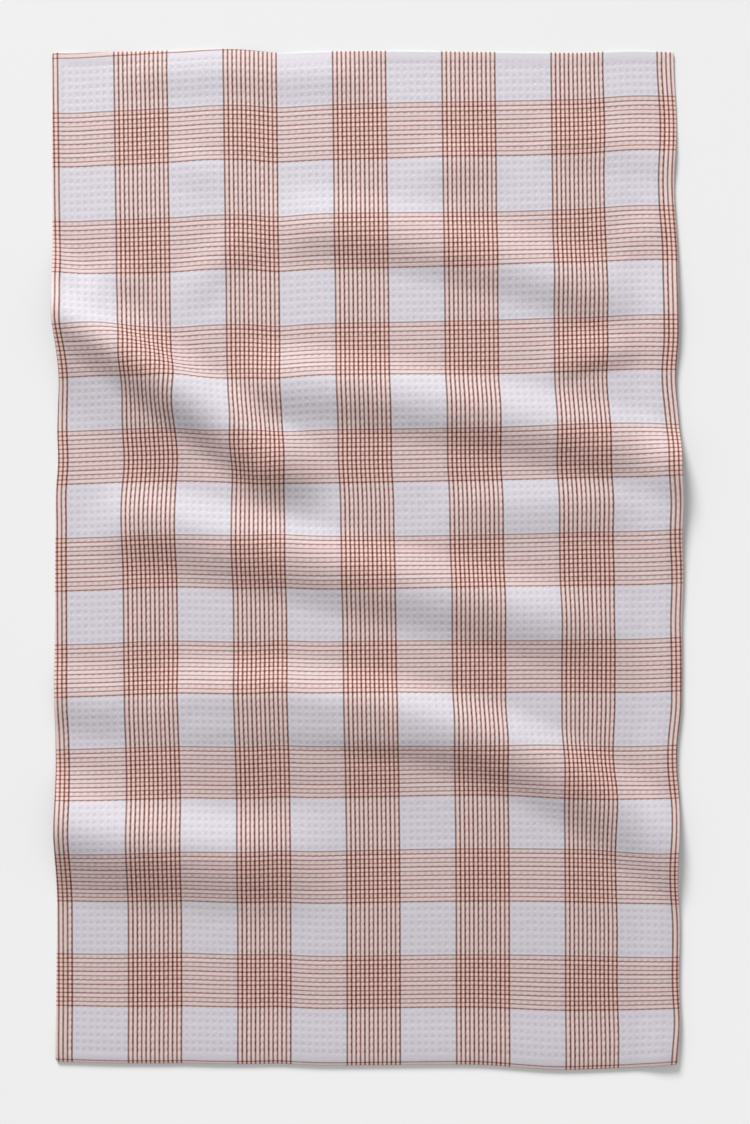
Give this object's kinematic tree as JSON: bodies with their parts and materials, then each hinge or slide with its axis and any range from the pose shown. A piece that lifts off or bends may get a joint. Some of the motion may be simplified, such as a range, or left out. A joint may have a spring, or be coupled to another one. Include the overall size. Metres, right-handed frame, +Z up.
{
  "type": "tea towel",
  "caption": "Waffle-weave cotton tea towel in a woven line check, laid face up on a flat surface with soft diagonal folds and a narrow turned hem all round.",
  "frame": {"origin": "on the surface that the towel lies on, under the middle of its bounding box", "axes": "+X across the towel to its right hem, +Y along it to its upper hem, +Z up from the surface"},
  "size_m": [0.4342, 0.704, 0.0173],
  "materials": {
    "cloth": "matt washed cotton, waffle weave, off-white ground with a woven check of fine red-brown lines"
  },
  "bodies": {
    "root": {"towel_cloth": "cloth"}
  },
  "joints": []
}
